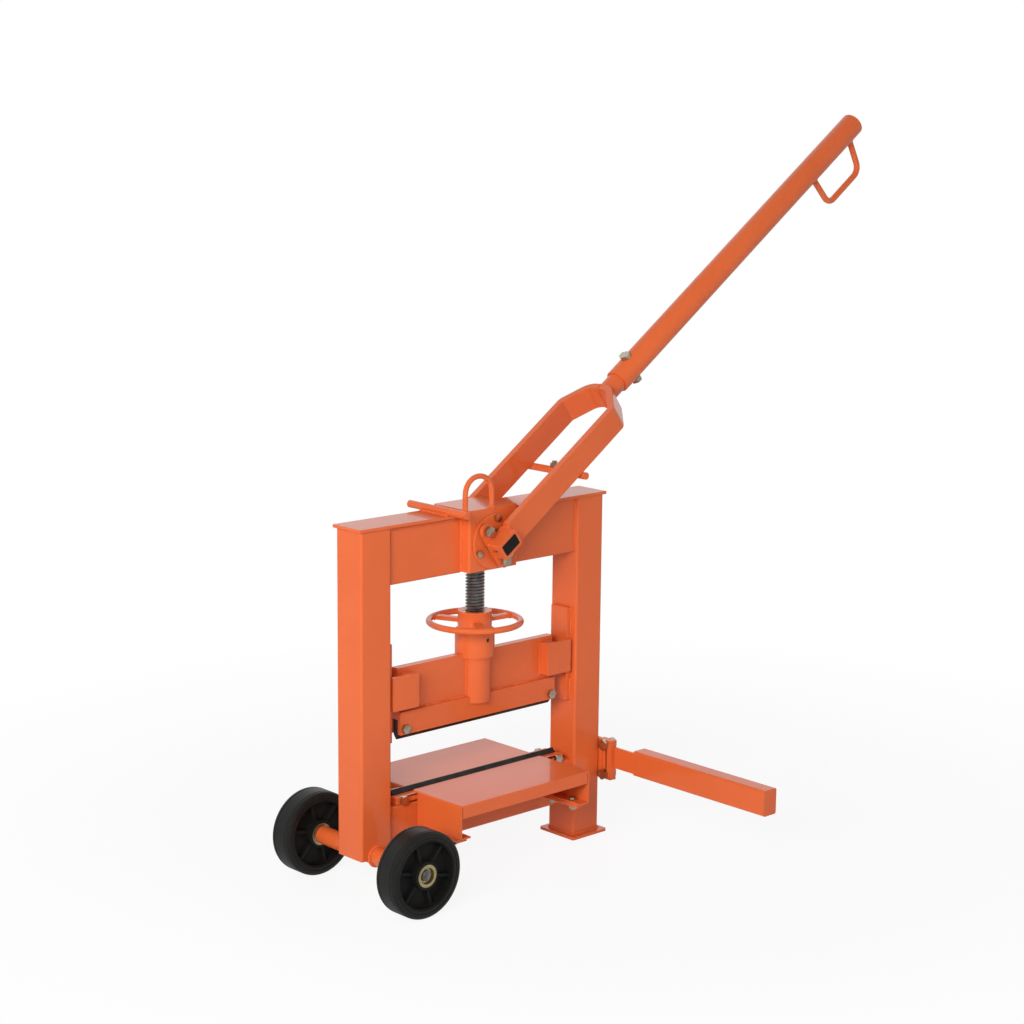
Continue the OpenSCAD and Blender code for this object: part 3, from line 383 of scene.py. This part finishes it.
# %% [markdown]
# ## Dressing the measured pieces
# The measured solids have knife-sharp edges, which no painted plate has. A Weld modifier joins their loose
# triangles and a Bevel modifier rounds only the edges that turn sharply, so each catches a thin line of
# light. The rounding is larger on thick painted plates than on bolts. On the fork arms and the notched
# post, whose flats are cut into slivers, a planar Decimate first makes each flat one face. The tables are
# folded from sheet, so the edges along a fold get a bevel weight, and a second Bevel rounds those as a
# press brake would.

# %% Round the edges and assign the finishes
EDGE_ROUND = {"paint": 0.0014, "zinc": 0.0010, "black_steel": 0.0008, "dark_steel": 0.0006, "bronze": 0.0005,
              "black_plastic": 0.0012, "black_rubber": 0.0012}
OWN_ROUND = {"handwheel": 0.0009, "front_table": 0.0011, "rear_table": 0.0011, "top_plates": 0.0011,
             "front_socket": 0.0028, "rear_socket": 0.0028, "socket_plugs": 0.0018}
OWN_FINISH = {"front_wheel_bush": "yellow_zinc", "rear_wheel_bush": "yellow_zinc"}
SLIVERED = ("front_arm", "rear_arm", "left_post")
FOLDED = ("front_table", "rear_table")
FOLD_ROUND = 0.0028
FLAT_ANGLE = math.radians(0.4)
SHARP_ANGLE = math.radians(38)
NEAR = 0.00001


def only(piece):
    bpy.ops.object.select_all(action="DESELECT")
    piece.select_set(True)
    bpy.context.view_layer.objects.active = piece


def mark_folds(name, piece):
    low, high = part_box(name)
    lip = low.y if name == "front_table" else high.y
    marks = piece.data.attributes.new("bevel_weight_edge", "FLOAT", "EDGE")
    for edge, mark in zip(piece.data.edges, marks.data):
        ends = [piece.matrix_world @ piece.data.vertices[i].co for i in edge.vertices]
        at_side = any(all(abs(end.x - x) < NEAR for end in ends) for x in (low.x, high.x))
        at_level = any(all(abs(end.z - z) < NEAR for end in ends) for z in (low.z, high.z))
        at_lip = all(abs(end.y - lip) < NEAR and abs(end.z - high.z) < NEAR for end in ends)
        mark.value = float(at_lip or (at_side and at_level))


slot_of = {part["node"]: part["material_slot"] for part in frame["record"]["subparts"]}
for name, piece in nodes.items():
    slot = slot_of[name]
    piece.data.materials.clear()
    piece.data.materials.append(finishes[OWN_FINISH.get(name, slot)])
    weld = piece.modifiers.new("join", "WELD")
    weld.merge_threshold = NEAR
    if name in SLIVERED:
        flat = piece.modifiers.new("flat", "DECIMATE")
        flat.decimate_type = "DISSOLVE"
        flat.angle_limit = FLAT_ANGLE
    if name in FOLDED:
        mark_folds(name, piece)
        fold = piece.modifiers.new("folds", "BEVEL")
        fold.width = FOLD_ROUND
        fold.segments = 4
        fold.limit_method = "WEIGHT"
    rounding = piece.modifiers.new("edges", "BEVEL")
    rounding.width = OWN_ROUND.get(name, EDGE_ROUND[slot])
    rounding.segments = 3
    rounding.limit_method = "ANGLE"
    rounding.angle_limit = SHARP_ANGLE
    shading = piece.modifiers.new("shading", "WEIGHTED_NORMAL")
    shading.weight = 100
    only(piece)
    bpy.ops.mesh.customdata_custom_splitnormals_clear()
    bpy.ops.object.shade_smooth()
print("dressed", len(nodes), "pieces")

# %% [markdown]
# ## Helpers for modelled pieces
# The measured solids keep to plain forms. What they leave out is modelled here: the screw's true helix, the
# tyres' grooves, the ends of the handle and the weld seams. Each is built near the origin, set in place,
# given a finish and joined to a moving body. Outlines are pairs of radius and height in millimetres, as a
# turner would read them off a drawing.

# %% Set up the helpers
def apply_all(piece):
    only(piece)
    for modifier in list(piece.modifiers):
        bpy.ops.object.modifier_apply(modifier=modifier.name)


def set_down(piece, name, body, slot, smooth_angle):
    only(piece)
    bpy.ops.object.transform_apply(location=True, rotation=True, scale=True)
    piece.name = name
    piece.data.materials.clear()
    piece.data.materials.append(finishes[slot])
    bpy.ops.object.shade_smooth_by_angle(angle=math.radians(smooth_angle))
    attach(piece, body)


def wire(outline):
    points = [Vector((radius / 1000, 0, height / 1000)) for radius, height in outline]
    bpy.ops.object.select_all(action="DESELECT")
    bpy.ops.mesh.primitive_plane_add(size=0.001)
    bpy.ops.object.mode_set(mode="EDIT")
    bpy.ops.mesh.select_all(action="SELECT")
    bpy.ops.mesh.merge(type="CENTER")
    bpy.ops.transform.translate(value=points[0])
    for here, there in zip(points, points[1:]):
        bpy.ops.mesh.extrude_region_move(TRANSFORM_OT_translate={"value": there - here})
    bpy.ops.object.mode_set(mode="OBJECT")
    return bpy.context.object


def turned(outline, steps):
    piece = wire(outline)
    bpy.ops.object.mode_set(mode="EDIT")
    bpy.ops.mesh.select_all(action="SELECT")
    bpy.ops.mesh.spin(steps=steps, angle=2 * math.pi, center=(0, 0, 0), axis=(0, 0, 1))
    bpy.ops.mesh.select_all(action="SELECT")
    bpy.ops.mesh.remove_doubles(threshold=2 * NEAR)
    bpy.ops.mesh.normals_make_consistent(inside=False)
    bpy.ops.object.mode_set(mode="OBJECT")
    return piece


print("helpers ready")

# %% [markdown]
# ## The spindle's thread
# The measured spindle carries rings of the right depth and pitch, but a real thread climbs. One tooth of a
# trapezoidal thread is drawn as a wire, with its corners eased. A Screw modifier winds it up one pitch per
# turn, to the right, and two cuts close the ends. A bump could draw the ridges, but not their outline
# against the white.

# %% Wind the thread
PITCH = 0.006
SPARE_TURNS = 3
THREAD_STEPS = 48
ROOT = 14.5
ROOT_EASE = 0.25
CREST = 18
CREST_EASE = 0.35

rising = [(ROOT, 0), (ROOT, 1.35), (ROOT + ROOT_EASE, 1.6), (CREST - CREST_EASE, 2.35), (CREST, 2.65)]
falling = [(CREST, 4.45), (CREST - CREST_EASE, 4.75), (ROOT + ROOT_EASE, 5.5), (ROOT, 5.75), (ROOT, 6)]
spindle_low, spindle_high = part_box("spindle")
turns = int((spindle_high.z - spindle_low.z) / PITCH) + SPARE_TURNS
thread = wire(rising + falling)
winding = thread.modifiers.new("winding", "SCREW")
winding.axis = "Z"
winding.angle = 2 * math.pi
winding.screw_offset = PITCH
winding.iterations = turns
winding.steps = THREAD_STEPS
winding.render_steps = THREAD_STEPS
apply_all(thread)
bpy.ops.object.mode_set(mode="EDIT")
bpy.ops.mesh.select_all(action="SELECT")
bpy.ops.mesh.remove_doubles(threshold=NEAR)
bpy.ops.mesh.normals_make_consistent(inside=False)
bpy.ops.transform.translate(value=(middle, 0, spindle_low.z - PITCH))
bpy.ops.mesh.select_all(action="SELECT")
bpy.ops.mesh.bisect(plane_co=(middle, 0, spindle_low.z), plane_no=(0, 0, 1), use_fill=True, clear_inner=True)
bpy.ops.mesh.select_all(action="SELECT")
bpy.ops.mesh.bisect(plane_co=(middle, 0, spindle_high.z), plane_no=(0, 0, 1), use_fill=True, clear_outer=True)
bpy.ops.mesh.select_all(action="SELECT")
bpy.ops.mesh.normals_make_consistent(inside=False)
bpy.ops.object.mode_set(mode="OBJECT")
set_down(thread, "spindle_thread", "press", "dark_steel", smooth_angle=35)
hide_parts("spindle")
print("thread turns:", turns, "faces:", len(thread.data.polygons))

# %% [markdown]
# ## The tyres
# A solid tyre has rounded shoulders, a fine groove round each shoulder and a raised ring on its side. Half
# of its section is drawn, the other half is its mirror image, and the whole is turned about the axle.
# Turning one section keeps every groove evenly round, which cuts into a finished cylinder might not.

# %% Turn the tyres
TYRE_RADIUS = 80
TYRE_WIDTH = 50
TYRE_STEPS = 128
CORE_RADIUS = 64
SHOULDER = 7
GROOVE_FLOOR = TYRE_RADIUS - 0.9
MID_WIDTH = TYRE_WIDTH / 2 - 0.1

quarter = [math.radians(angle) for angle in range(0, 91, 15)]
side_ring = [(CORE_RADIUS, MID_WIDTH), (CORE_RADIUS, 1.6), (64.8, 0.8), (68.2, 0.8), (68.6, 1.6), (69.8, 1.6),
             (70.2, 0.4), (71.4, 0)]
bend_in = TYRE_RADIUS - SHOULDER
shoulder = [(bend_in + SHOULDER * math.sin(a), SHOULDER - SHOULDER * math.cos(a)) for a in quarter]
groove = [(TYRE_RADIUS, 9.2), (GROOVE_FLOOR, 9.8), (GROOVE_FLOOR, 11), (TYRE_RADIUS, 11.6)]
half_section = side_ring + shoulder + groove + [(TYRE_RADIUS, MID_WIDTH)]
section = half_section + [(radius, TYRE_WIDTH - height) for radius, height in reversed(half_section)]
section.append(half_section[0])
tyre = turned(section, TYRE_STEPS)
for side in ("front", "rear"):
    low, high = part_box(side + "_tyre")
    ring = tyre.copy()
    ring.data = tyre.data.copy()
    bpy.context.scene.collection.objects.link(ring)
    ring.rotation_euler = (math.radians(90), 0, 0)
    ring.location = ((low.x + high.x) / 2, high.y, (low.z + high.z) / 2)
    set_down(ring, side + "_tyre_ring", side + "_wheel", "black_rubber", smooth_angle=40)
    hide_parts(side + "_tyre")
bpy.data.objects.remove(tyre)
print("tyre faces:", len(ring.data.polygons))

# %% [markdown]
# ## The handle
# The handle is a plain pipe, but its ends tell how it was made: the lower rim is eased where it was filed,
# and the cap on the upper end is domed and dressed flush. Both are turned about the lever's long axis,
# which runs along Z while they are made and is then laid over to the lever's slope at rest.

# %% Turn the handle and its cap
PIVOT_HEIGHT = 0.63
LEVER_SLOPE = math.radians(-35.2)
HANDLE_START = 452
HANDLE_END = 1308
PIPE_RADIUS = 24.15
PIPE_BORE = 20.05
PIPE_STEPS = 72
CAP_ROUND = 5
CAP_RISE = 3

on_frame = Matrix.Translation((middle, 0, 0))
on_lever = on_frame @ Matrix.Translation((0, 0, PIVOT_HEIGHT)) @ Matrix.Rotation(LEVER_SLOPE, 4, "Y")
along_lever = on_lever @ Matrix.Rotation(math.radians(90), 4, "Y")
rim = [(PIPE_BORE, HANDLE_START + 1), (21, HANDLE_START), (23.2, HANDLE_START), (23.9, HANDLE_START + 0.4),
       (PIPE_RADIUS, HANDLE_START + 1.2)]
pipe = turned(rim + [(PIPE_RADIUS, HANDLE_END), (PIPE_BORE, HANDLE_END), rim[0]], PIPE_STEPS)
pipe.data.transform(along_lever)
set_down(pipe, "handle_pipe", "lever", "paint", smooth_angle=40)
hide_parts("handle_tube")
flat_top = PIPE_RADIUS - CAP_ROUND
dome = [(flat_top + CAP_ROUND * math.cos(a), HANDLE_END + CAP_RISE * math.sin(a)) for a in quarter]
cap = turned([(0, HANDLE_END)] + dome + [(0, HANDLE_END + CAP_RISE)], PIPE_STEPS)
cap.data.transform(along_lever)
set_down(cap, "handle_dome", "lever", "paint", smooth_angle=50)
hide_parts("handle_cap")
print("handle faces:", len(pipe.data.polygons) + len(cap.data.polygons))

# %% [markdown]
# ## One ripple of a weld
# The frame is welded, and the coat leaves the ripples of each seam in sight. A smooth bead swept along the
# corner would look like a cord, so the seam is made as the welder made it, ripple by ripple. One ripple is
# a flattened, leaning ball of radius 1, which is scaled to each seam's size.

# %% Shape one ripple
RIPPLE_LENGTH = 0.62
RIPPLE_LEAN = math.radians(24)

bpy.ops.object.select_all(action="DESELECT")
bpy.ops.mesh.primitive_uv_sphere_add(segments=12, ring_count=7, radius=1)
ripple = bpy.context.object
bpy.ops.object.mode_set(mode="EDIT")
bpy.ops.mesh.select_all(action="SELECT")
bpy.ops.transform.resize(value=(RIPPLE_LENGTH, 1, 1))
bpy.ops.transform.rotate(value=RIPPLE_LEAN, orient_axis="Y", center_override=(0, 0, 0))
bpy.ops.object.mode_set(mode="OBJECT")
print("ripple faces:", len(ripple.data.polygons))

# %% [markdown]
# ## Rows of ripples
# An Array modifier repeats the ripple along a path, a Curve modifier bends the row onto that path, and a
# weak cloud texture makes it uneven, as no hand is perfectly steady. Paths are in millimetres. A path can
# be mirrored across the portal, from front to rear, or both. Every seam of a body joins into one piece.

# %% Lay rows along paths
RIPPLE_STEP = 0.66
RIPPLE_UNEVEN = 0.22
ONE = (1,)
BOTH = (-1, 1)

clouds = bpy.data.textures.new("weld_clouds", "CLOUDS")
clouds.noise_scale = 0.006


def seam(points, size):
    path = bpy.data.curves.new("path", "CURVE")
    path.dimensions = "3D"
    run = path.splines.new("POLY")
    run.points.add(len(points) - 1)
    for knot, point in zip(run.points, points):
        knot.co = (*point, 1)
    guide = bpy.data.objects.new("path", path)
    bpy.context.scene.collection.objects.link(guide)
    row = ripple.copy()
    row.data = ripple.data.copy()
    bpy.context.scene.collection.objects.link(row)
    row.scale = (size, size, size)
    only(row)
    bpy.ops.object.transform_apply(location=False, rotation=False, scale=True)
    repeat = row.modifiers.new("repeat", "ARRAY")
    repeat.fit_type = "FIT_CURVE"
    repeat.curve = guide
    repeat.use_relative_offset = False
    repeat.use_constant_offset = True
    repeat.constant_offset_displace = (RIPPLE_STEP * size, 0, 0)
    bend = row.modifiers.new("bend", "CURVE")
    bend.object = guide
    bend.deform_axis = "POS_X"
    uneven = row.modifiers.new("uneven", "DISPLACE")
    uneven.texture = clouds
    uneven.texture_coords = "GLOBAL"
    uneven.strength = RIPPLE_UNEVEN * size
    apply_all(row)
    bpy.data.objects.remove(guide)
    return row


def seams(points, size, x_sides=ONE, y_sides=ONE):
    made = []
    for x_side in x_sides:
        for y_side in y_sides:
            path = [(x * x_side / 1000, y * y_side / 1000, z / 1000) for x, y, z in points]
            made.append(seam(path, size / 1000))
    return made


def join_seams(rows, name, body, place):
    bpy.ops.object.select_all(action="DESELECT")
    for row in rows:
        row.select_set(True)
    bpy.context.view_layer.objects.active = rows[0]
    bpy.ops.object.join()
    rows[0].data.transform(place)
    set_down(rows[0], name, body, "paint", smooth_angle=60)
    print(name, "has", len(rows), "seams")


print("one ripple every", RIPPLE_STEP, "of its size")

# %% [markdown]
# ## Paths in the corners
# A seam lies in the corner where two measured pieces meet. So the paths on the frame and the carriage start
# from the pieces' boxes, measured from the floor under the portal's middle, and follow them if they change.
# Straight paths run upright, crosswise or lengthwise, and round ones circle a rod or a tube.

# %% Find the paths
ACROSS = Vector((1, 0, 0))
DEEP = Vector((0, 1, 0))
HIGH = Vector((0, 0, 1))


def corners(node):
    origin = Vector((middle, 0, 0))
    return [Vector([round(1000 * value, 1) for value in corner - origin]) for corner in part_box(node)]


def upright(x, y, start, end):
    return [(x, y, start), (x, y, end)]


def crosswise(x, z, start, end):
    return [(x, start, z), (x, end, z)]


def lengthwise(y, z, start, end):
    return [(start, y, z), (end, y, z)]


def circle(centre, radius, axis_a, axis_b, steps=24):
    angles = [2 * math.pi * i / steps for i in range(steps + 1)]
    return [tuple(Vector(centre) + radius * (math.cos(a) * axis_a + math.sin(a) * axis_b)) for a in angles]


print("portal clear width:", 2 * corners("right_post")[0].x, "mm")

# %% [markdown]
# ## Seams of the frame
# Beams are welded to the posts and the head, and the small pieces to what carries them. A seam stops a
# little short of an edge, as a welder does, and on a flat it stands a little proud.

# %% Weld the frame
EYE_ROD_RADIUS = 5

post_low, post_high = corners("right_post")
beam_low, beam_high = corners("right_beam")
frame_rows = seams(upright(post_low.x, beam_high.y, beam_low.z + 4, beam_high.z - 3), 3.0, BOTH, BOTH)
head_low, head_high = corners("head_housing")
frame_rows += seams(upright(head_high.x, beam_high.y, beam_low.z + 6, beam_high.z - 2), 3.6, BOTH, BOTH)
plate_low, plate_high = corners("top_plates")
plate_end = crosswise(head_high.x, plate_high.z + 0.4, plate_low.y + 0.5, plate_high.y - 0.5)
frame_rows += seams(plate_end, 2.2, BOTH)
bar_low, bar_high = corners("left_stop_bar")
for bar_side in (bar_high.x - 1.5, bar_low.x + 1.5):
    frame_rows += seams(crosswise(bar_side, plate_high.z + 0.6, plate_low.y + 1.5, plate_high.y - 1.5), 2.8)
eye_low, eye_high = corners("lifting_eye")
for eye_side in (eye_low.y, eye_high.y):
    frame_rows += seams(upright(head_low.x - 0.5, eye_side, eye_low.z, head_high.z - 1), 2.6)
eye_foot = (eye_high.x - EYE_ROD_RADIUS, eye_low.y + EYE_ROD_RADIUS, head_high.z + 0.2)
frame_rows += seams(circle(eye_foot, EYE_ROD_RADIUS + 0.8, ACROSS, DEEP), 2.6)
rail_low, rail_high = corners("guide_rails")
for start, end in ((rail_high.z - 51, rail_high.z - 2), (rail_low.z + 3, rail_low.z + 42)):
    frame_rows += seams(upright(post_low.x - 0.5, rail_high.y, start, end), 2.9, BOTH, BOTH)
sleeve_low, sleeve_high = corners("axle_sleeve")
sleeve_middle = (sleeve_low + sleeve_high) / 2
sleeve_end = (sleeve_middle.x, post_low.y - 0.4, sleeve_middle.z)
sleeve_radius = sleeve_high.x - sleeve_middle.x
frame_rows += seams(circle(sleeve_end, sleeve_radius + 1, ACROSS, HIGH, steps=36), 3.4, ONE, BOTH)
foot_top = corners("foot_plate")[1].z + 0.4
frame_rows += seams(crosswise(post_low.x + 0.4, foot_top, post_low.y + 2, post_high.y - 2), 2.6)
frame_rows += seams(lengthwise(post_low.y, foot_top, post_low.x + 2, post_high.x - 2), 2.6, ONE, BOTH)
frame_rows += seams(crosswise(post_high.x, foot_top, post_low.y + 2, post_high.y - 2), 2.6)
lug_low, lug_high = corners("arm_lug")
for lug_edge in (lug_high.z, lug_low.z):
    frame_rows += seams(crosswise(post_high.x, lug_edge, post_low.y + 5, lug_high.y - 2), 2.8)
sill_low, sill_high = corners("lower_beam")
frame_rows += seams(upright(post_low.x, sill_high.y, sill_low.z + 3, sill_high.z - 3), 3.0, BOTH, BOTH)
join_seams(frame_rows, "frame_welds", "frame", on_frame)

# %% [markdown]
# ## Seams of the blade carriage
# The blade plates are welded to the tube under the collar and to the claws that grip the rails. Along the
# apron the seam is laid in short stitches, which keep a long thin plate from warping.

# %% Weld the carriage
TUBE_SIDE = 28.6
COLLAR_DEPTH = 50
CLAW_LENGTH = 62
STITCHES = ((-128, -92), (-66, -31), (31, 66), (96, 132))

plate_side = corners("blade_plates")[1].y
apron_top = corners("blade_apron")[1].z
collar_under = corners("nut_tube")[1].z - COLLAR_DEPTH
carriage_rows = seams(upright(TUBE_SIDE, plate_side, apron_top + 3, collar_under - 3), 3.2, BOTH, BOTH)
claw_low, claw_high = corners("guide_claws")
claw_end = upright(claw_high.x - CLAW_LENGTH, plate_side + 0.2, claw_low.z + 2, claw_high.z - 2)
carriage_rows += seams(claw_end, 3.2, BOTH, BOTH)
for start, end in STITCHES:
    carriage_rows += seams(lengthwise(plate_side + 0.4, apron_top + 0.2, start, end), 2.6, ONE, BOTH)
join_seams(carriage_rows, "carriage_welds", "carriage", on_frame)

# %% [markdown]
# ## Seams of the lever
# The fork's arms are welded to their sockets, the two halves of its nose to each other, the stub to the
# nose and the hand guard to the pipe. The lever slopes at rest, and a box around it would tell little. So
# these paths are drawn on a level lever with its pivot at the origin, and the joined piece is tilted. Round
# the stub the seam follows the nose, which is flat in the middle and curves away beside it.

# %% Weld the lever
SOCKET_END = 25
ARM_FACES = ((-68, -81.2), (59, 69))
ARM_EDGE = 17
NOSE = 416
NOSE_BACK = 402
NOSE_EDGE = 25
NOSE_FLAT = 9.4
NOSE_ROUND = 40
STUB_RADIUS = 20
GUARD_FEET = (1143.3, 1282.6)
GUARD_LEVEL = -23.7
GUARD_ROUND = 7

lever_rows = []
for inner, outer in ARM_FACES:
    lever_rows += seams(upright(SOCKET_END, outer, 2 - ARM_EDGE, ARM_EDGE - 2), 3.6)
    for edge in (ARM_EDGE, -ARM_EDGE):
        lever_rows += seams(crosswise(SOCKET_END, edge, inner, outer), 3.2)
for edge in (-NOSE_EDGE, NOSE_EDGE):
    lever_rows += seams(lengthwise(0, edge, NOSE_BACK + 1, NOSE - 1), 2.4)
lever_rows += seams(upright(NOSE_BACK - 0.2, 0, 2 - NOSE_EDGE, NOSE_EDGE - 2), 2.6)
saddle = []
for along, across, height in circle((NOSE, 0, 0), STUB_RADIUS + 0.4, DEEP, HIGH, steps=48):
    beside = max(0, abs(across) - NOSE_FLAT)
    saddle.append((along + 0.2 - NOSE_ROUND + math.sqrt(NOSE_ROUND ** 2 - beside ** 2), across, height))
lever_rows += seams(saddle, 3.0)
for along in GUARD_FEET:
    lever_rows += seams(circle((along, 0, GUARD_LEVEL), GUARD_ROUND, ACROSS, DEEP), 2.4)
join_seams(lever_rows, "lever_welds", "lever", on_lever)

# %% [markdown]
# ## Seams of the handwheel
# Each of the three spokes is welded to the hub and to the rim, above and below. The seams run across the
# spoke, so one loop over the spokes' directions lays them all.

# %% Weld the handwheel
SPOKES = 3
FIRST_SPOKE = -5
SPOKE_ENDS = ((32.0, 2.4), (80.6, 2.2))
SPOKE_FACES = (474.0, 466.0)
SPOKE_HALF = 5.5

wheel_rows = []
for i in range(SPOKES):
    way = math.radians(FIRST_SPOKE + 360 / SPOKES * i)
    outward = Vector((math.cos(way), math.sin(way), 0))
    sideways = Vector((-math.sin(way), math.cos(way), 0))
    for reach, size in SPOKE_ENDS:
        for face in SPOKE_FACES:
            spot = outward * reach + HIGH * face
            wheel_rows += seams([spot - sideways * SPOKE_HALF, spot + sideways * SPOKE_HALF], size)
join_seams(wheel_rows, "handwheel_welds", "handwheel", on_frame)
bpy.data.objects.remove(ripple)

# %% [markdown]
# ## Sizes and the end
# The outer size is compared with the measured model's.

# %% Print the sizes and finish
new_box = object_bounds()
growth = zip(cad_box[1] - cad_box[0], new_box[1] - new_box[0])
print("grew by", [round(1000 * (after - before), 2) for before, after in growth], "mm")
